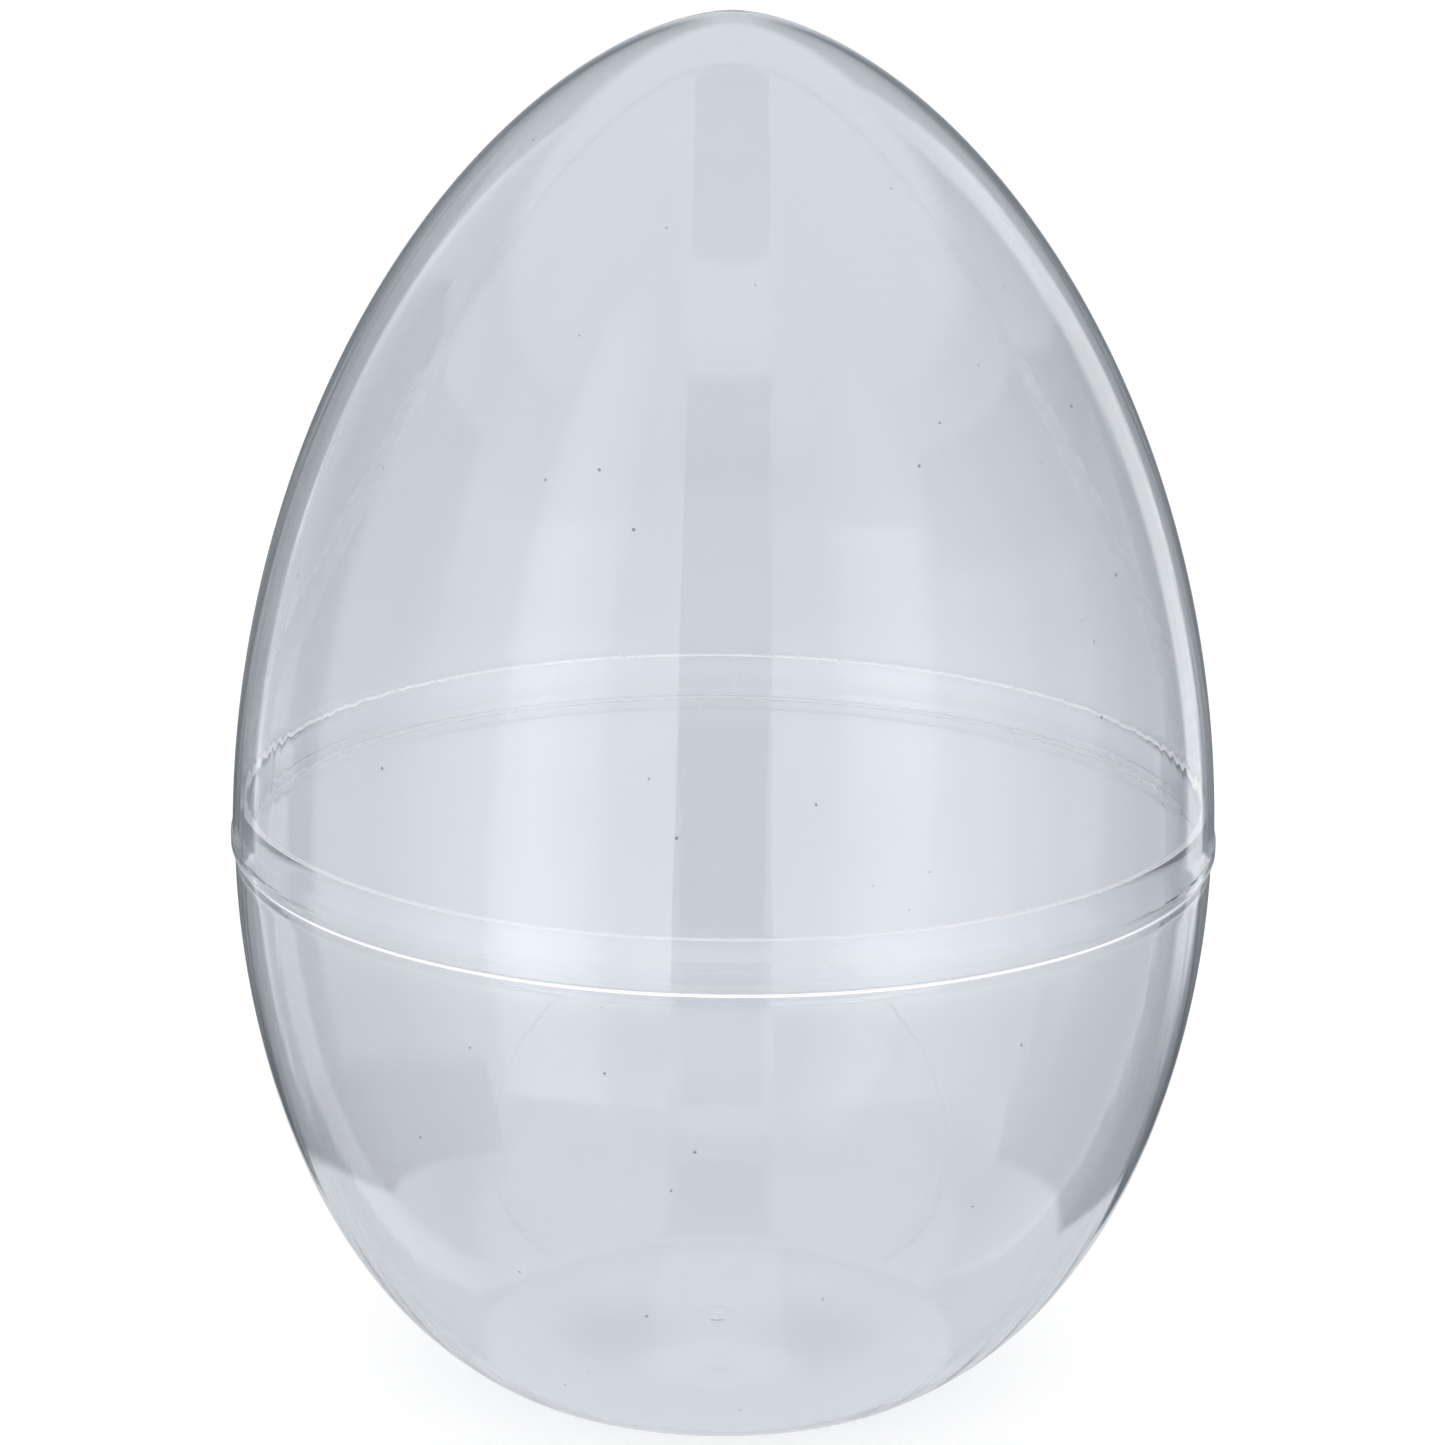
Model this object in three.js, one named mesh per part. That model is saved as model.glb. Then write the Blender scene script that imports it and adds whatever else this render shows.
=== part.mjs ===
// Clear two-piece fillable egg: a pointed dome whose skirt slips over the collar of a rounded cup.
// Millimetres, +Z up. Z is the axis of both shells, and the origin is the centre of the foot.
import * as THREE from "three";

// Overall sizes
const rimRadius = 89; // outside of the bead round the dome's rim, the widest place
const domeHeight = 149; // from the dome's rim up to its tip
const cupHeight = 99.5; // from the foot up to the dome's rim

// Dome
const domeWall = 1.1;
const domeFullness = 1.95; // higher keeps the wall upright for longer above the rim
const domeBluntness = 0.594; // 0.5 gives a round tip, and higher values a more pointed one
const beadProud = 0.3; // how far the rim's bead stands out from the dome's wall
const beadHeight = 2.6;
const edgeBevel = 0.25; // the small bevels on the rim and on the top of the collar

// Cup
const cupWall = 1.1;
const cupFullness = 1.907;
const cupBluntness = 0.36;
const shoulderInset = 0.7; // how far the cup's wall stands in from the outside of the bead
const shoulderWeb = 1.2; // height of the straight inner face under the shoulder, before it slopes out
const footCut = 8.7; // how much of the cup's curve the flat foot cuts off
const footRingWidth = 6; // flat ring that the egg stands on
const footRounding = 2.6; // how far the rounded corner of the foot reaches in along the foot
const footRoundingHeight = 1.3; // how far the same corner reaches up the cup's curve
const recessDepth = 3.5; // the middle of the foot is dished up by this much

// Fit of the dome on the cup
const collarHeight = 9.2; // collar above the dome's rim
const collarClearance = 0.4; // radial gap between the dome's skirt and the collar at its root
const collarDraft = 0.25; // how much smaller the collar's radius is at its top
const restGap = 0.3; // gap left between the dome's rim and the shoulder that it rests on

// Fineness of the surfaces
const segments = 48; // facets round the axis, the same on both shells so that they stay parallel
const domeSteps = 14;
const bowlSteps = 12;
const cornerSteps = 3;
const recessSteps = 4;

// What follows from these sizes
const domeRadius = rimRadius - beadProud;
const skirtRadius = domeRadius - domeWall;
const collarRadius = skirtRadius - collarClearance;
const cupRadius = rimRadius - shoulderInset;
const shoulderTop = cupHeight - restGap;
const collarTop = cupHeight + collarHeight;
const bowlDepth = shoulderTop + footCut;

function point(radius, height) {
  return new THREE.Vector2(radius, height);
}

// Radius of an egg's curve at a distance from its widest plane.
function eggRadius(distance, radius, depth, fullness, bluntness) {
  const share = Math.min(distance / depth, 1);
  return radius * (1 - share ** fullness) ** bluntness;
}

// Distances from the widest plane, closer together towards the end of the curve.
function curveDistances(first, last, depth, steps) {
  const firstAngle = Math.asin(first / depth);
  const lastAngle = Math.asin(last / depth);
  return Array.from({ length: steps + 1 }, (_, i) => {
    const angle = THREE.MathUtils.lerp(firstAngle, lastAngle, i / steps);
    return depth * Math.sin(angle);
  });
}

// One face of the dome's wall, from near its rim up to the tip, set in from the outside.
function domeFace(inset, first) {
  const depth = domeHeight - inset;
  return curveDistances(first, depth, depth, domeSteps).map((distance) =>
    point(eggRadius(distance, domeRadius - inset, depth, domeFullness, domeBluntness), cupHeight + distance),
  );
}

// One face of the cup's wall, from the middle of the foot out and up to a height, set in from the outside.
function cupFace(inset, top) {
  const depth = bowlDepth - inset;
  const radiusAt = (height) =>
    eggRadius(shoulderTop - height, cupRadius - inset, depth, cupFullness, cupBluntness);
  const corner = radiusAt(inset);
  const flatEnd = corner - footRounding;
  const recessRadius = flatEnd - footRingWidth;
  const recess = Array.from({ length: recessSteps + 1 }, (_, i) => {
    const share = i / recessSteps;
    const dish = (recessDepth * (1 + Math.cos(Math.PI * share))) / 2;
    return point(recessRadius * share, inset + dish);
  });
  const roundingTop = inset + footRoundingHeight;
  const rounding = new THREE.QuadraticBezierCurve(
    point(flatEnd, inset),
    point(corner, inset),
    point(radiusAt(roundingTop), roundingTop),
  ).getPoints(cornerSteps);
  const bowl = curveDistances(shoulderTop - top, shoulderTop - roundingTop, depth, bowlSteps)
    .map((distance) => point(radiusAt(shoulderTop - distance), shoulderTop - distance))
    .reverse();
  return [...recess, ...rounding, ...bowl.slice(1)];
}

// A wall's whole outline, inside and out, turned round the Z axis.
function turned(name, outline, material) {
  const geometry = new THREE.LatheGeometry(outline, segments);
  geometry.rotateX(Math.PI / 2);
  const mesh = new THREE.Mesh(geometry, material);
  mesh.name = name;
  return mesh;
}

function clearPlastic(color) {
  return new THREE.MeshStandardMaterial({
    color,
    roughness: 0.12,
    metalness: 0,
    transparent: true,
    opacity: 0.35,
    side: THREE.DoubleSide,
  });
}

// The pointed dome: its inner face down from the tip, round the rim's bead and back up the outside.
function upperShell() {
  const rim = [
    point(rimRadius - edgeBevel, cupHeight),
    point(rimRadius, cupHeight + edgeBevel),
    point(rimRadius, cupHeight + beadHeight / 2),
  ];
  const outline = [...domeFace(domeWall, 0).reverse(), ...rim, ...domeFace(0, beadHeight)];
  return turned("upper_shell", outline, clearPlastic(0xd3dbe1));
}

// The rounded cup: up the outside to the shoulder, over the collar and down the inner face.
function lowerShell() {
  const collarInner = collarRadius - cupWall;
  const slopeTop = shoulderTop - shoulderWeb;
  const slopeBottom = slopeTop - (cupRadius - collarRadius);
  const collar = [
    point(collarRadius, shoulderTop),
    point(collarRadius - collarDraft, collarTop - edgeBevel),
    point(collarRadius - collarDraft - edgeBevel, collarTop),
    point(collarInner - collarDraft + edgeBevel, collarTop),
    point(collarInner - collarDraft, collarTop - edgeBevel),
    point(collarInner, slopeTop),
  ];
  const outline = [...cupFace(0, shoulderTop), ...collar, ...cupFace(cupWall, slopeBottom).reverse()];
  return turned("lower_shell", outline, clearPlastic(0xcdd6dd));
}

const egg = new THREE.Group();
egg.add(lowerShell(), upperShell());

export default egg;
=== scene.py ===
import math
import bpy
from mathutils import Matrix, Vector


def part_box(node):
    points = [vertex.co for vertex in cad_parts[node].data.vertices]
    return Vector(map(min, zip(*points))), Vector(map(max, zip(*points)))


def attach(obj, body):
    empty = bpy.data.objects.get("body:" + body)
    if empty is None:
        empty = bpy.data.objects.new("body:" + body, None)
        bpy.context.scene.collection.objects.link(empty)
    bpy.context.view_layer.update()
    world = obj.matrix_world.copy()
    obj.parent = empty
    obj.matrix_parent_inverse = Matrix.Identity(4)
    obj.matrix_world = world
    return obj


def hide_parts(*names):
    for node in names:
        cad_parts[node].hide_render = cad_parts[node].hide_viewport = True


# A large clear egg in two mouldings: a pointed dome whose beaded rim slips over the collar of a
# rounded, flat-footed cup. Lengths are in metres, and sizes below are given in millimetres.

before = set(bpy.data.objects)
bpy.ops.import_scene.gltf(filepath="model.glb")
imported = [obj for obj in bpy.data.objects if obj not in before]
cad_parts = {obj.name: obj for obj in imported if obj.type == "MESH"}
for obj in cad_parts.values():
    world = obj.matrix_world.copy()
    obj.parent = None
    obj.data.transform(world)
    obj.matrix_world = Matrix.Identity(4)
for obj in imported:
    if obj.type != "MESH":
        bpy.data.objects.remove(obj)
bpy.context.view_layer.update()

MM = 0.001

# ---------------------------------------------------------------- sizes

CUP_LOW, CUP_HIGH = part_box("lower_shell")
DOME_LOW, DOME_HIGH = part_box("upper_shell")

RIM_RADIUS = (DOME_HIGH.x - DOME_LOW.x) / 2
SEAM = DOME_LOW.z
DOME_HEIGHT = DOME_HIGH.z - SEAM
CUP_RADIUS = (CUP_HIGH.x - CUP_LOW.x) / 2
COLLAR_TOP = CUP_HIGH.z
FOOT = CUP_LOW.z

WALL = 1.1 * MM
DOME_FULLNESS = 1.95
DOME_BLUNTNESS = 0.594
BEAD_PROUD = 0.3 * MM
BEAD_HEIGHT = 2.6 * MM
# The bead from its top down to the rim, as shares of how far it stands out and of its height.
BEAD_PROFILE = ((0.55, 0.9), (0.95, 0.76), (1, 0.6), (1, 0.3), (1, 0))

CUP_FULLNESS = 1.907
CUP_BLUNTNESS = 0.36
REST_GAP = 0.3 * MM
COLLAR_CLEARANCE = 0.4 * MM
COLLAR_DRAFT = 0.25 * MM
FOOT_CUT = 8.7 * MM
FOOT_RING_WIDTH = 6 * MM
FOOT_ROUNDING = 2.6 * MM
FOOT_ROUNDING_HEIGHT = 1.3 * MM
RECESS_DEPTH = 3.5 * MM
GATE_RADIUS = 2.4 * MM
GATE_HEIGHT = 0.2 * MM
GATE_FLAT = 0.8  # share of the gate mark's radius that is flat
GATE_SIDE = 0.8  # share of its height that its side takes up
EDGE_ROUNDING = 0.25 * MM
EDGE_SEGMENTS = 3
# The matt band along each parting edge is nearly opaque white: partly real frosting, partly a painted
# highlight line where the edge catches light.
PARTING_BAND = 0.35 * MM  # how far the matt finish reaches to each side of a parting edge

DOME_RADIUS = RIM_RADIUS - BEAD_PROUD
COLLAR_RADIUS = DOME_RADIUS - WALL - COLLAR_CLEARANCE
SHOULDER = SEAM - REST_GAP
BOWL_DEPTH = SHOULDER - FOOT + FOOT_CUT

# Fineness of the meshes: steps round the axis, and rows of faces along each part of the outlines.
TURNS = 192
DOME_ROWS = 72
BOWL_ROWS = 64
RECESS_ROWS = 16
ROUNDING_ROWS = 8
COLLAR_ROWS = 4
MERGE_DISTANCE = 0.002 * MM
SHARP_ANGLE = math.radians(40)

FLOOR_SIZE = 16  # in metres, so that the camera doesn't see its far edge
FLOOR_DROP = 0.2 * MM  # keeps the paper just clear of the foot
PAPER_GLOW = 0.6  # how much of the paper's brightness is its own, so that shadows stay pale


# ---------------------------------------------------------------- camera and studio

CAMERA_DISTANCE = 10 * RIM_RADIUS
CAMERA_ELEVATION = math.radians(17.72)
AIM_OVER_SEAM = math.radians(1.27)
CAMERA_ROLL = math.radians(0.69)
AIM_ASIDE = math.radians(0.025)
CAMERA_LENS = 122.05  # in millimetres, as is the sensor's width
SENSOR_WIDTH = 36
NEAREST_SEEN = 0.05  # in metres
FARTHEST_SEEN = 30  # in metres


def make_camera():
    """Stands in front, a little above the egg, and looks down on its seam."""
    data = bpy.data.cameras.new("camera")
    data.lens = CAMERA_LENS
    data.sensor_width = SENSOR_WIDTH
    data.clip_start = NEAREST_SEEN
    data.clip_end = FARTHEST_SEEN
    camera = bpy.data.objects.new("camera", data)
    bpy.context.scene.collection.objects.link(camera)
    back = Vector((0, -math.cos(CAMERA_ELEVATION), math.sin(CAMERA_ELEVATION)))
    place = Matrix.Translation(Vector((0, 0, SEAM)) + back * CAMERA_DISTANCE)
    tilt = Matrix.Rotation(math.pi / 2 - CAMERA_ELEVATION + AIM_OVER_SEAM, 4, "X")
    roll = Matrix.Rotation(CAMERA_ROLL, 4, "Z")
    aside = Matrix.Rotation(AIM_ASIDE, 4, "Y")
    camera.matrix_world = place @ tilt @ aside @ roll
    bpy.context.scene.camera = camera


make_camera()


def linear(hex_colour):
    """An sRGB hex colour as linear red, green, blue and a full alpha."""
    channels = [int(hex_colour[i : i + 2], 16) / 255 for i in (1, 3, 5)]
    return [c / 12.92 if c <= 0.04045 else ((c + 0.055) / 1.055) ** 2.4 for c in channels] + [1.0]


def add_node(tree, kind, inputs=None, **settings):
    """Adds a node, sets its settings, and gives each input a value, a link or another node's first output."""
    made = tree.nodes.new(kind)
    for name, value in settings.items():
        setattr(made, name, value)
    for name, value in (inputs or {}).items():
        if isinstance(value, bpy.types.Node):
            value = value.outputs[0]
        if isinstance(value, bpy.types.NodeSocket):
            tree.links.new(value, made.inputs[name])
        else:
            made.inputs[name].default_value = value
    return made


def new_tree(name):
    """A new material and its node tree, emptied."""
    material = bpy.data.materials.new(name)
    material.use_nodes = True
    material.node_tree.nodes.clear()
    return material, material.node_tree


PAPER_WHITE = "#fdfdfd"
BACKDROP_WHITE = "#ffffff"
# Painted shade: the paper and the backdrop take this darker tone only where they are seen through the clear
# plastic.
PAINTED_SHADE_SEEN_THROUGH = "#ced2d5"  # the one tone that shows straight through the clear plastic
LAMP_LIGHT = 1.45  # what the lamps shed on matt surfaces, next to the white backdrop's 1

# Degrees that a turn or a height can reach to each side of its middle.
HALF_TURN = 180
STRAIGHT_UP = 90

# Brightness of the studio in a ring round the egg, where the backdrop's white is 1, by degrees from the
# camera's side to the right: two wide softboxes before it, a narrow strip further round on each
# side with a dark flat behind it, and a pale backdrop behind.
LIGHTS_ROUND = (
    (-176, 0.8), (-168, 0.3), (-141, 0.28), (-139.5, 1.05), (-134, 0.62), (-124, 0.42), (-112, 0.28),
    (-105, 0.72), (-86, 0.72), (-71, 0.86), (-56, 0.98), (-52, 1.55), (-45, 1.75), (-34, 1.5),
    (-24, 1.05), (-12, 1.15), (13, 0.8), (24, 0.95), (35, 1.2), (47, 1.35), (60, 1.05), (73, 0.8),
    (88, 0.5), (104, 0.18), (118, 0.05), (134, 0.1), (138, 0.95), (148, 1), (150, 0.3), (168, 0.3),
    (176, 0.8),
)
# How that ring fades up and down, by degrees above the level of the egg.
LIGHTS_BY_HEIGHT = (
    (-40, 0.6), (-36, 0.75), (-26, 0.65), (-20, 0.92), (-12, 1.15), (0, 1), (15, 0.95), (32, 0.78),
    (46, 0.7), (58, 0.5), (70, 0.4),
)
# A diffuser hangs overhead, and starts softly between these heights.
OVERHEAD = 0.85
OVERHEAD_STARTS = (28, 40)

# The dark gap between the two softboxes, from the floor up and over the egg. Its edge is soft
# between these half widths, which are shares of the distance to it.
GAP_EDGE = (0.182, 0.192)
GAP_BY_HEIGHT = (
    (-60, 0.8), (-50, 0.35), (-41, 0.22), (-37, 0.6), (-26, 0.85), (-16, 0.75), (-10, 0.28), (20, 0.28),
    (47.5, 0.48), (49, 0.95), (63, 0.95), (67, 0.47), (84, 0.47), (90, 0.6),
)
# Behind the egg the gap is only overhead: it ends past these turns and under these heights.
GAP_ENDS_ROUND = (90, 100)
GAP_ENDS_UP = (66, 60)

# The lit table under the egg, by height before the egg, and its brightness behind. It changes
# from one to the other between these turns, on both sides.
TABLE_BY_HEIGHT = ((-90, 0.85), (-70, 0.68), (-60, 0.65), (-50, 0.55), (-42, 0.48), (-30, 0.72))
TABLE_BEHIND = 0.8
TABLE_CHANGES = (70, 120)
# Height of its far edge, from one turn and height to another.
EDGE_BEFORE = ((0, -36.4), (60, -33.5))
EDGE_ON_LEFT = ((-156, -28), (-112, -41))
EDGE_ON_RIGHT = ((88, -47.5), (130, -40))
EDGE_FAR_RIGHT = ((130, -40), (153, -29.5))
EDGE_BEHIND = -19.0
EDGE_SOFTNESS = 0.7
# Turns where the left gives way to the right, where the side edges take over on each, and where
# the edge behind does.
MIDDLE = (-1, 1)
LEFT_SIDE_STARTS = (-57, -61)
RIGHT_SIDE_STARTS = (78, 82)
BACK_STARTS = (160, 172)
# Over the sides of the table the lights fall off into the dark, short of these turns and between
# these heights.
DARK_SIDE_ENDS = (165, 130)
DARK_ON_LEFT = (-28, -32)
DARK_ON_RIGHT = (-19, -29)

# The unlit parts of the studio are cooler than its lamps.
SHADE_COLOUR = "#b6c9d8"
LIGHT_COLOUR = "#fbfdff"


def sees_through(tree):
    """1 for what is seen through the clear plastic, and 0 for anything else."""
    path = add_node(tree, "ShaderNodeLightPath").outputs
    return add_node(
        tree, "ShaderNodeMath", {0: path["Is Transmission Ray"], 1: path["Diffuse Depth"]},
        operation="SUBTRACT", use_clamp=True,
    )


def sees_reflected(tree):
    """1 for what the plastic reflects, one or more bounces deep, and 0 for anything else."""
    path = add_node(tree, "ShaderNodeLightPath").outputs
    return add_node(tree, "ShaderNodeMath", {0: path["Glossy Depth"], 1: 0.5}, operation="GREATER_THAN")


def make_floor():
    """A wide sheet of white paper. What shows through the egg is a painted shade, a darker tone that the
    paper takes only there.
    """
    bpy.ops.object.select_all(action="DESELECT")
    bpy.ops.mesh.primitive_plane_add(size=FLOOR_SIZE, location=(0, 0, FOOT - FLOOR_DROP))
    floor = bpy.context.object
    floor.name = "floor"
    bpy.ops.object.transform_apply(location=True)
    material, tree = new_tree("white_paper")
    paper = add_node(tree, "ShaderNodeBsdfDiffuse", {"Color": linear(PAPER_WHITE)})
    # Seen through the plastic, the paper glows in the painted shade instead of its white.
    painted_shade_seen_through = add_node(tree, "ShaderNodeEmission", {"Color": linear(PAINTED_SHADE_SEEN_THROUGH)})
    glowing = add_node(tree, "ShaderNodeEmission", {"Color": linear(PAPER_WHITE)})
    lit = add_node(tree, "ShaderNodeMixShader", {0: PAPER_GLOW, 1: paper, 2: glowing})
    unseen = add_node(tree, "ShaderNodeBsdfTransparent")
    plain = add_node(tree, "ShaderNodeMixShader", {0: sees_through(tree), 1: lit, 2: painted_shade_seen_through})
    surface = add_node(tree, "ShaderNodeMixShader", {0: sees_reflected(tree), 1: plain, 2: unseen})
    add_node(tree, "ShaderNodeOutputMaterial", {"Surface": surface})
    floor.data.materials.append(material)


def turn_and_height(tree, direction):
    """Degrees round from the camera's side to the right, and degrees above level."""
    front = add_node(tree, "ShaderNodeMath", {0: direction["Y"], 1: -1.0}, operation="MULTIPLY")
    around = add_node(tree, "ShaderNodeMath", {0: direction["X"], 1: front}, operation="ARCTAN2")
    upward = add_node(tree, "ShaderNodeMath", {0: direction["Z"]}, operation="ARCSINE")
    turn = add_node(tree, "ShaderNodeMath", {0: around}, operation="DEGREES")
    height = add_node(tree, "ShaderNodeMath", {0: upward}, operation="DEGREES")
    return turn, height


def brightness_at(tree, angle, stops, reach):
    """The brightness at an angle between -reach and reach, on a soft curve through the stops."""
    highest = max(level for _, level in stops)
    share = add_node(tree, "ShaderNodeMapRange", {"Value": angle, "From Min": -reach, "From Max": reach})
    curve = add_node(tree, "ShaderNodeValToRGB", {"Fac": share})
    curve.color_ramp.interpolation = "EASE"
    points = curve.color_ramp.elements
    points.remove(points[1])
    points[0].position = (stops[0][0] + reach) / (2 * reach)
    points[0].color = [stops[0][1] / highest] * 3 + [1]
    for degrees, level in stops[1:]:
        points.new((degrees + reach) / (2 * reach)).color = [level / highest] * 3 + [1]
    return add_node(tree, "ShaderNodeMath", {0: curve, 1: highest}, operation="MULTIPLY")


def ring_of_lights(tree, turn, height):
    """The softboxes and strips round the egg, and the diffuser overhead."""
    ring = add_node(
        tree, "ShaderNodeMath",
        {
            0: brightness_at(tree, turn, LIGHTS_ROUND, HALF_TURN),
            1: brightness_at(tree, height, LIGHTS_BY_HEIGHT, STRAIGHT_UP),
        },
        operation="MULTIPLY",
    )
    starts, full = OVERHEAD_STARTS
    overhead = add_node(
        tree, "ShaderNodeMapRange",
        {"Value": height, "From Min": starts, "From Max": full, "To Max": OVERHEAD},
        interpolation_type="SMOOTHSTEP",
    )
    return add_node(tree, "ShaderNodeMath", {0: ring, 1: overhead}, operation="MAXIMUM")


def table_edge(tree, turn, aside, on_right, beside):
    """Height of the table's far edge, which rises and falls round the egg."""
    edges = []
    for angle, (start, end) in (
        (aside, EDGE_BEFORE), (turn, EDGE_ON_LEFT), (turn, EDGE_ON_RIGHT), (turn, EDGE_FAR_RIGHT),
    ):
        edges.append(add_node(
            tree, "ShaderNodeMapRange",
            {
                "Value": angle, "From Min": start[0], "From Max": end[0],
                "To Min": start[1], "To Max": end[1],
            },
        ))
    before, on_left, near_right, far_right = edges
    right = add_node(tree, "ShaderNodeMath", {0: near_right, 1: far_right}, operation="MAXIMUM")
    at_sides = add_node(tree, "ShaderNodeMix", {"Factor": on_right, "A": on_left, "B": right})
    around = add_node(tree, "ShaderNodeMix", {"Factor": beside, "A": before, "B": at_sides})
    behind = add_node(
        tree, "ShaderNodeMapRange",
        {"Value": aside, "From Min": BACK_STARTS[0], "From Max": BACK_STARTS[1]},
        interpolation_type="SMOOTHSTEP",
    )
    return add_node(tree, "ShaderNodeMix", {"Factor": behind, "A": around, "B": EDGE_BEHIND})


def darken_sides(tree, lights, aside, height, on_right, beside):
    """Lets the lights fall off into the dark over the sides of the table."""
    fades = []
    for angle, (start, end) in ((aside, DARK_SIDE_ENDS), (height, DARK_ON_LEFT), (height, DARK_ON_RIGHT)):
        fades.append(add_node(
            tree, "ShaderNodeMapRange",
            {"Value": angle, "From Min": start, "From Max": end},
            interpolation_type="SMOOTHSTEP",
        ))
    short_of_back, left_fall, right_fall = fades
    falling = add_node(tree, "ShaderNodeMix", {"Factor": on_right, "A": left_fall, "B": right_fall})
    side = add_node(tree, "ShaderNodeMath", {0: beside, 1: short_of_back}, operation="MULTIPLY")
    dark = add_node(tree, "ShaderNodeMath", {0: side, 1: falling}, operation="MULTIPLY")
    return add_node(tree, "ShaderNodeMix", {"Factor": dark, "A": lights, "B": 0.0})


def add_table(tree, lights, turn, height):
    """Puts the lit table under the lights."""
    aside = add_node(tree, "ShaderNodeMath", {0: turn}, operation="ABSOLUTE")
    steps = []
    for start, end in (MIDDLE, LEFT_SIDE_STARTS, RIGHT_SIDE_STARTS):
        steps.append(add_node(
            tree, "ShaderNodeMapRange",
            {"Value": turn, "From Min": start, "From Max": end},
            interpolation_type="SMOOTHSTEP",
        ))
    on_right, past_left, past_right = steps
    beside = add_node(tree, "ShaderNodeMix", {"Factor": on_right, "A": past_left, "B": past_right})
    lights = darken_sides(tree, lights, aside, height, on_right, beside)
    around = add_node(
        tree, "ShaderNodeMapRange",
        {"Value": aside, "From Min": TABLE_CHANGES[0], "From Max": TABLE_CHANGES[1]},
        interpolation_type="SMOOTHSTEP",
    )
    before = brightness_at(tree, height, TABLE_BY_HEIGHT, STRAIGHT_UP)
    table = add_node(tree, "ShaderNodeMix", {"Factor": around, "A": before, "B": TABLE_BEHIND})
    edge = table_edge(tree, turn, aside, on_right, beside)
    depth = add_node(tree, "ShaderNodeMath", {0: edge, 1: height}, operation="SUBTRACT")
    below = add_node(
        tree, "ShaderNodeMapRange",
        {"Value": depth, "From Min": -EDGE_SOFTNESS, "From Max": EDGE_SOFTNESS},
        interpolation_type="SMOOTHSTEP",
    )
    return add_node(tree, "ShaderNodeMix", {"Factor": below, "A": lights, "B": table})


def add_gap(tree, lights, sideways, turn, height):
    """Parts the lights with the dark gap, which runs before and over the egg."""
    aside = add_node(tree, "ShaderNodeMath", {0: turn}, operation="ABSOLUTE")
    off_middle = add_node(tree, "ShaderNodeMath", {0: sideways}, operation="ABSOLUTE")
    ends = []
    for value, (start, end) in ((off_middle, GAP_EDGE), (aside, GAP_ENDS_ROUND), (height, GAP_ENDS_UP)):
        ends.append(add_node(
            tree, "ShaderNodeMapRange",
            {"Value": value, "From Min": start, "From Max": end},
            interpolation_type="SMOOTHSTEP",
        ))
    past_edge, far_round, low = ends
    behind = add_node(tree, "ShaderNodeMath", {0: far_round, 1: low}, operation="MULTIPLY")
    outside = add_node(tree, "ShaderNodeMath", {0: past_edge, 1: behind}, operation="MAXIMUM")
    gap = brightness_at(tree, height, GAP_BY_HEIGHT, STRAIGHT_UP)
    return add_node(tree, "ShaderNodeMix", {"Factor": outside, "A": gap, "B": lights})


def make_studio_lights():
    """Two softboxes with a dark gap before the egg, a strip behind each side, and a lit table."""
    world = bpy.data.worlds.new("studio")
    bpy.context.scene.world = world
    world.use_nodes = True
    tree = world.node_tree
    tree.nodes.clear()
    toward = add_node(tree, "ShaderNodeTexCoord").outputs["Generated"]
    direction = add_node(tree, "ShaderNodeSeparateXYZ", {"Vector": toward}).outputs
    turn, height = turn_and_height(tree, direction)
    lights = ring_of_lights(tree, turn, height)
    lights = add_table(tree, lights, turn, height)
    lights = add_gap(tree, lights, direction["X"], turn, height)
    coolness = add_node(
        tree, "ShaderNodeMix", {"Factor": lights, "A": linear(SHADE_COLOUR), "B": linear(LIGHT_COLOUR)},
        data_type="RGBA",
    ).outputs["Result"]
    reflected = add_node(tree, "ShaderNodeBackground", {"Color": coolness, "Strength": lights})
    scattered = add_node(tree, "ShaderNodeLightPath").outputs["Diffuse Depth"]
    strength = add_node(tree, "ShaderNodeMapRange", {"Value": scattered, "To Min": 1.0, "To Max": LAMP_LIGHT})
    white = add_node(tree, "ShaderNodeBackground", {"Color": linear(BACKDROP_WHITE), "Strength": strength})
    # Seen through the plastic, the backdrop shows the same painted shade instead of its white.
    painted_shade_seen_through = add_node(tree, "ShaderNodeBackground", {"Color": linear(PAINTED_SHADE_SEEN_THROUGH), "Strength": 1.0})
    plain = add_node(tree, "ShaderNodeMixShader", {0: sees_through(tree), 1: white, 2: painted_shade_seen_through})
    seen = add_node(tree, "ShaderNodeMixShader", {0: sees_reflected(tree), 1: plain, 2: reflected})
    add_node(tree, "ShaderNodeOutputWorld", {"Surface": seen})
    bpy.context.scene.view_settings.view_transform = "Standard"


# ---------------------------------------------------------------- shapes


def egg_radius(distance, radius, depth, fullness, bluntness):
    """Radius of an egg's curve at a distance from its widest plane."""
    share = min(distance / depth, 1)
    return radius * (1 - share**fullness) ** bluntness


def curve_distances(first, last, depth, steps):
    """Distances from the widest plane, closer together towards the end of the curve."""
    start = math.asin(first / depth)
    end = math.asin(last / depth)
    return [depth * math.sin(start + (end - start) * i / steps) for i in range(steps + 1)]


def dome_outline():
    """The dome's outside, from its tip down to its rim."""
    wall = [
        (egg_radius(d, DOME_RADIUS, DOME_HEIGHT, DOME_FULLNESS, DOME_BLUNTNESS), SEAM + d)
        for d in curve_distances(BEAD_HEIGHT, DOME_HEIGHT, DOME_HEIGHT, DOME_ROWS)
    ]
    bead = [(DOME_RADIUS + BEAD_PROUD * out, SEAM + BEAD_HEIGHT * up) for out, up in BEAD_PROFILE]
    return wall[::-1] + bead


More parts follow.
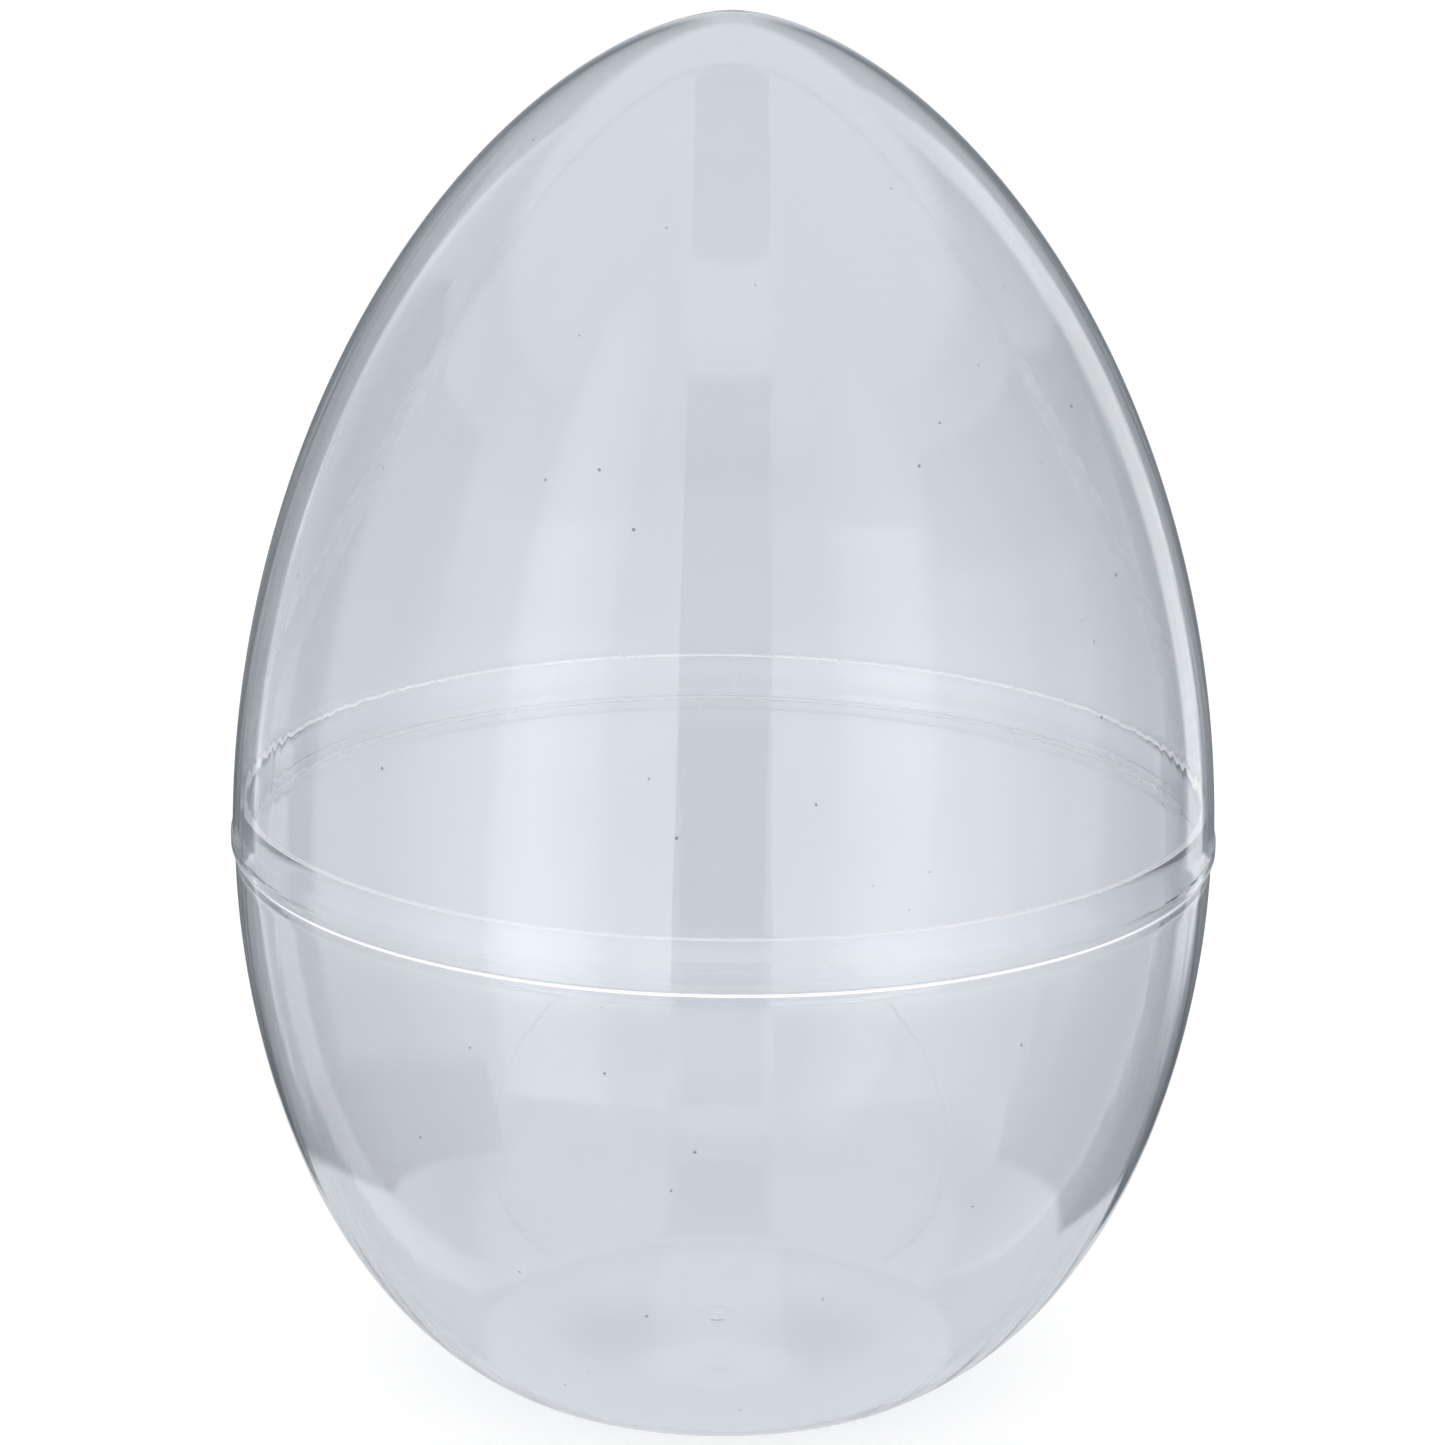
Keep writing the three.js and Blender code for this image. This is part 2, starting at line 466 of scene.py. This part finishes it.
def cup_outline():
    """The cup's outside, from the gate mark under the foot up to the top of the collar."""

    def radius_at(height):
        return egg_radius(SHOULDER - height, CUP_RADIUS, BOWL_DEPTH, CUP_FULLNESS, CUP_BLUNTNESS)

    corner = radius_at(FOOT)
    flat_end = corner - FOOT_ROUNDING
    recess_radius = flat_end - FOOT_RING_WIDTH
    dish = [
        FOOT + RECESS_DEPTH * (1 + math.cos(math.pi * i / RECESS_ROWS)) / 2 for i in range(RECESS_ROWS + 1)
    ]
    # The gate mark stands in the middle of the dish, and takes the place of its first two points.
    recess = [(recess_radius * i / RECESS_ROWS, dish[i]) for i in range(2, RECESS_ROWS + 1)]
    gate_face = dish[0] - GATE_HEIGHT
    gate = [
        (0, gate_face), (GATE_FLAT * GATE_RADIUS, gate_face),
        (GATE_RADIUS, gate_face + GATE_SIDE * GATE_HEIGHT),
    ]
    start = Vector((flat_end, FOOT))
    middle = Vector((corner, FOOT))
    end = Vector((radius_at(FOOT + FOOT_ROUNDING_HEIGHT), FOOT + FOOT_ROUNDING_HEIGHT))
    shares = [i / ROUNDING_ROWS for i in range(ROUNDING_ROWS + 1)]
    rounding = [tuple(start.lerp(middle, share).lerp(middle.lerp(end, share), share)) for share in shares]
    depths = curve_distances(0, SHOULDER - FOOT - FOOT_ROUNDING_HEIGHT, BOWL_DEPTH, BOWL_ROWS)[::-1]
    # The wall has no row close under the shoulder, where the slope inside starts.
    bowl = [(radius_at(SHOULDER - d), SHOULDER - d) for d in depths[1:-2] + [0]]
    collar = [
        (COLLAR_RADIUS - COLLAR_DRAFT * i / COLLAR_ROWS, SHOULDER + (COLLAR_TOP - SHOULDER) * i / COLLAR_ROWS)
        for i in range(COLLAR_ROWS + 1)
    ]
    return gate + recess + rounding + bowl + collar


def spun_surface(name, outline):
    """Extrudes an outline point by point and spins it round the Z axis."""
    bpy.ops.object.select_all(action="DESELECT")
    bpy.ops.mesh.primitive_plane_add(size=MM, location=(outline[0][0], 0, outline[0][1]))
    piece = bpy.context.object
    piece.name = name
    piece.data.name = name
    bpy.ops.object.transform_apply(location=True)
    bpy.ops.object.mode_set(mode="EDIT")
    bpy.ops.mesh.select_mode(type="VERT")
    bpy.ops.mesh.select_all(action="SELECT")
    # The small square becomes the outline's first point.
    bpy.ops.mesh.merge(type="CENTER")
    for here, there in zip(outline, outline[1:]):
        step = (there[0] - here[0], 0, there[1] - here[1])
        bpy.ops.mesh.extrude_region_move(TRANSFORM_OT_translate={"value": step})
    bpy.ops.mesh.select_all(action="SELECT")
    bpy.ops.mesh.spin(steps=TURNS, angle=2 * math.pi, center=(0, 0, 0), axis=(0, 0, 1))
    bpy.ops.mesh.select_all(action="SELECT")
    bpy.ops.mesh.remove_doubles(threshold=MERGE_DISTANCE)
    bpy.ops.mesh.normals_make_consistent(inside=False)
    bpy.ops.mesh.select_all(action="DESELECT")
    bpy.ops.object.mode_set(mode="OBJECT")
    return piece


def give_wall(piece):
    """Thickens the surface inwards to the moulding's wall."""
    wall = piece.modifiers.new("wall", "SOLIDIFY")
    wall.thickness = WALL
    wall.offset = -1
    wall.use_even_offset = True
    bpy.ops.object.modifier_apply(modifier=wall.name)


def slope_under_shoulder(piece):
    """Pulls the ring at the inner corner under the shoulder down, so that the wall thins in a slope."""
    near = WALL / 4
    for vertex in piece.data.vertices:
        aside = abs(math.hypot(vertex.co.x, vertex.co.y) - (CUP_RADIUS - WALL))
        above = abs(vertex.co.z - (SHOULDER - WALL))
        vertex.select = max(aside, above) < near
    bpy.ops.object.mode_set(mode="EDIT")
    bpy.ops.transform.translate(value=(0, 0, -WALL))
    bpy.ops.mesh.select_all(action="DESELECT")
    bpy.ops.object.mode_set(mode="OBJECT")


def round_edges(piece):
    """Takes the sharpness off the edges and smooths the shading between them."""
    edges = piece.modifiers.new("rounded_edges", "BEVEL")
    edges.width = EDGE_ROUNDING
    edges.segments = EDGE_SEGMENTS
    edges.limit_method = "ANGLE"
    edges.angle_limit = SHARP_ANGLE
    bpy.ops.object.modifier_apply(modifier=edges.name)
    bpy.ops.object.shade_smooth_by_angle(angle=SHARP_ANGLE)


# ---------------------------------------------------------------- materials

POLYSTYRENE_IOR = 1.57

# Flow ridges run from the tip or foot to the rim, and fade out towards the axis. Real ones are
# far lower than a tenth of a millimetre, and show only as soft streaks in the reflections.
FLOW_WIDTH = 9 * MM  # across the ridges, at the rim
FLOW_LENGTH = 700 * MM
FLOW_HEIGHT = 0.05 * MM
FLOW_DETAIL = 2.0
FLOW_START = 15 * MM  # from the axis, where they start to show
FLOW_FULL = 80 * MM
# Slow waves in the wall, where it shrank unevenly as it cooled.
WAVE_LENGTH = 45 * MM
WAVE_HEIGHT = 0.1 * MM
WAVE_DETAIL = 1.0
# Hairline scratches, drawn ten times as wide as real ones, which are too fine to show.
SCRATCH_WIDTH = 0.8 * MM
SCRATCH_LENGTH = 26 * MM
SCRATCH_TURN = (0.5, 0.35, 0.2)
SCRATCH_EDGE = (0.76, 0.8)
SCRATCH_ROUGHNESS = 0.12
# Patches with a little less polish than the rest.
CLOUD_SIZE = 40 * MM
CLOUD_EDGE = (0.35, 0.65)
CLOUD_DETAIL = 4.0
# Dark grains. They lie this far apart in every direction, so the thin wall holds only a few, which
# are drawn larger than real ones, so that they show.
GRAIN_SPACING = 13 * MM
GRAIN_RADIUS = 0.35 * MM
GRAIN_CORE = 0.7  # share of the radius that is wholly dark
GRAIN_COLOUR = "#74787c"

# Each finish has a tint, a haze, and a roughness for its best polished and for its dullest places.
CUP_FINISH = ("#fafbfd", 0.035, 0.006, 0.016)
COLLAR_FINISH = ("#fafbfe", 0.06, 0.015, 0.035)
DOME_FINISH = ("#fafbfc", 0.035, 0.006, 0.016)
# The parting edges are almost all haze over a near-white tint, so they read as white lines: partly real
# frosting, partly a painted highlight.
MATT_EDGE_AND_PAINTED_HIGHLIGHT_FINISH = ("#fcfdff", 0.97, 0.3, 0.4)


def flow_ridges(tree, place):
    """Height of the flow ridges, and how strongly they show, which fades out at the axis."""
    up = add_node(tree, "ShaderNodeSeparateXYZ", {"Vector": place}).outputs["Z"]
    along = add_node(tree, "ShaderNodeMath", {0: up, 1: 1 / FLOW_LENGTH}, operation="MULTIPLY")
    flat = add_node(tree, "ShaderNodeVectorMath", {0: place, 1: (1, 1, 0)}, operation="MULTIPLY")
    outward = add_node(tree, "ShaderNodeVectorMath", {0: flat}, operation="NORMALIZE")
    sideways = add_node(tree, "ShaderNodeSeparateXYZ", {"Vector": outward}).outputs
    flow_place = add_node(
        tree, "ShaderNodeCombineXYZ", {"X": sideways["X"], "Y": sideways["Y"], "Z": along},
    )
    ridges = add_node(
        tree, "ShaderNodeTexNoise",
        {"Vector": flow_place, "Scale": RIM_RADIUS / FLOW_WIDTH, "Detail": FLOW_DETAIL},
    )
    off_axis = add_node(tree, "ShaderNodeVectorMath", {0: flat}, operation="LENGTH")
    fade = add_node(
        tree, "ShaderNodeMapRange",
        {"Value": off_axis.outputs["Value"], "From Min": FLOW_START, "From Max": FLOW_FULL},
        interpolation_type="SMOOTHSTEP",
    )
    return ridges, fade


def moulded_relief(tree, place):
    """The wall's slight unevenness: flow ridges on slow waves."""
    ridges, fade = flow_ridges(tree, place)
    ripples = add_node(
        tree, "ShaderNodeBump", {"Strength": fade, "Distance": FLOW_HEIGHT, "Height": ridges},
    )
    waves = add_node(
        tree, "ShaderNodeTexNoise", {"Vector": place, "Scale": 1 / WAVE_LENGTH, "Detail": WAVE_DETAIL},
    )
    return add_node(
        tree, "ShaderNodeBump",
        {"Strength": 1.0, "Distance": WAVE_HEIGHT, "Height": waves, "Normal": ripples},
    )


def handled_polish(tree, place, smooth, rough):
    """Roughness between smooth and rough in patches, and rougher still in the scratches."""
    turned = add_node(
        tree, "ShaderNodeMapping",
        {
            "Vector": place, "Rotation": SCRATCH_TURN,
            "Scale": (1 / SCRATCH_WIDTH, 1 / SCRATCH_WIDTH, 1 / SCRATCH_LENGTH),
        },
    )
    scratches = add_node(tree, "ShaderNodeTexNoise", {"Vector": turned, "Scale": 1.0, "Detail": 0.0})
    scratched = add_node(
        tree, "ShaderNodeMapRange",
        {"Value": scratches, "From Min": SCRATCH_EDGE[0], "From Max": SCRATCH_EDGE[1]},
        interpolation_type="SMOOTHSTEP",
    )
    clouds = add_node(
        tree, "ShaderNodeTexNoise", {"Vector": place, "Scale": 1 / CLOUD_SIZE, "Detail": CLOUD_DETAIL},
    )
    polish = add_node(
        tree, "ShaderNodeMapRange",
        {
            "Value": clouds, "From Min": CLOUD_EDGE[0], "From Max": CLOUD_EDGE[1],
            "To Min": smooth, "To Max": rough,
        },
    )
    return add_node(
        tree, "ShaderNodeMath", {0: scratched, 1: SCRATCH_ROUGHNESS, 2: polish},
        operation="MULTIPLY_ADD",
    )


def grained_colour(tree, place, tint):
    """The plastic's tint, with a few dark grains."""
    grains = add_node(tree, "ShaderNodeTexVoronoi", {"Vector": place, "Scale": 1 / GRAIN_SPACING})
    radius = GRAIN_RADIUS / GRAIN_SPACING
    clean = add_node(
        tree, "ShaderNodeMapRange",
        {"Value": grains.outputs["Distance"], "From Min": GRAIN_CORE * radius, "From Max": radius},
        interpolation_type="SMOOTHSTEP",
    )
    return add_node(
        tree, "ShaderNodeMix", {"Factor": clean, "A": linear(GRAIN_COLOUR), "B": linear(tint)},
        data_type="RGBA",
    ).outputs["Result"]


def clear_polystyrene(name, tint, haze, smooth, rough):
    """Clear polystyrene, injection moulded against polished steel.

    The plastic is glassy but a little milky. Melt that spread from the gate left faint ridges along
    the egg, handling left short fine scratches, and a few dark grains are caught in the wall.
    """
    material, tree = new_tree(name)
    place = add_node(tree, "ShaderNodeTexCoord").outputs["Object"]
    plastic = add_node(
        tree, "ShaderNodeBsdfPrincipled",
        {
            "Base Color": grained_colour(tree, place, tint),
            "Roughness": handled_polish(tree, place, smooth, rough),
            "IOR": POLYSTYRENE_IOR,
            "Transmission Weight": 1 - haze,
            "Normal": moulded_relief(tree, place),
        },
    )
    lets_light_in = add_node(tree, "ShaderNodeBsdfTransparent", {"Color": linear(tint)})
    shadow = add_node(tree, "ShaderNodeLightPath").outputs["Is Shadow Ray"]
    surface = add_node(tree, "ShaderNodeMixShader", {0: shadow, 1: plastic, 2: lets_light_in})
    add_node(tree, "ShaderNodeOutputMaterial", {"Surface": surface})
    return material


# ---------------------------------------------------------------- the egg


def give_edge_its_finish(piece, low, high, material):
    """Gives the faces between two heights, such as a rim or a collar, their own material."""
    piece.data.materials.append(material)
    index = len(piece.data.materials) - 1
    for face in piece.data.polygons:
        if all(low <= piece.data.vertices[v].co.z <= high for v in face.vertices):
            face.material_index = index


def hand_over(piece, node, body):
    """Puts the piece in its CAD node's place and on its body."""
    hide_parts(node)
    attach(piece, body)


def make_cup(matt_edge_and_painted_highlight):
    """The lower moulding: a rounded cup with a shoulder and an upstanding collar."""
    cup = spun_surface("cup_moulding", cup_outline())
    give_wall(cup)
    slope_under_shoulder(cup)
    round_edges(cup)
    cup.data.materials.append(clear_polystyrene("clear_polystyrene_cup", *CUP_FINISH))
    scuffed = clear_polystyrene("clear_polystyrene_scuffed_collar", *COLLAR_FINISH)
    give_edge_its_finish(cup, SHOULDER + PARTING_BAND, COLLAR_TOP, scuffed)
    give_edge_its_finish(cup, COLLAR_TOP - PARTING_BAND, COLLAR_TOP + PARTING_BAND, matt_edge_and_painted_highlight)
    give_edge_its_finish(cup, SHOULDER - PARTING_BAND, SHOULDER + PARTING_BAND, matt_edge_and_painted_highlight)
    hand_over(cup, "lower_shell", "cup")


def make_dome(matt_edge_and_painted_highlight):
    """The upper moulding: a pointed dome with a slight bead round its rim."""
    dome = spun_surface("dome_moulding", dome_outline())
    give_wall(dome)
    round_edges(dome)
    dome.data.materials.append(clear_polystyrene("clear_polystyrene_dome", *DOME_FINISH))
    give_edge_its_finish(dome, SEAM - PARTING_BAND, SEAM + PARTING_BAND, matt_edge_and_painted_highlight)
    hand_over(dome, "upper_shell", "dome")


# One matt white finish for every parting edge, partly real frosting and partly a painted highlight.
shared_matt_edge_and_painted_highlight = clear_polystyrene("clear_polystyrene_matt_edge_and_painted_highlight", *MATT_EDGE_AND_PAINTED_HIGHLIGHT_FINISH)
make_cup(shared_matt_edge_and_painted_highlight)
make_dome(shared_matt_edge_and_painted_highlight)
make_floor()
make_studio_lights()
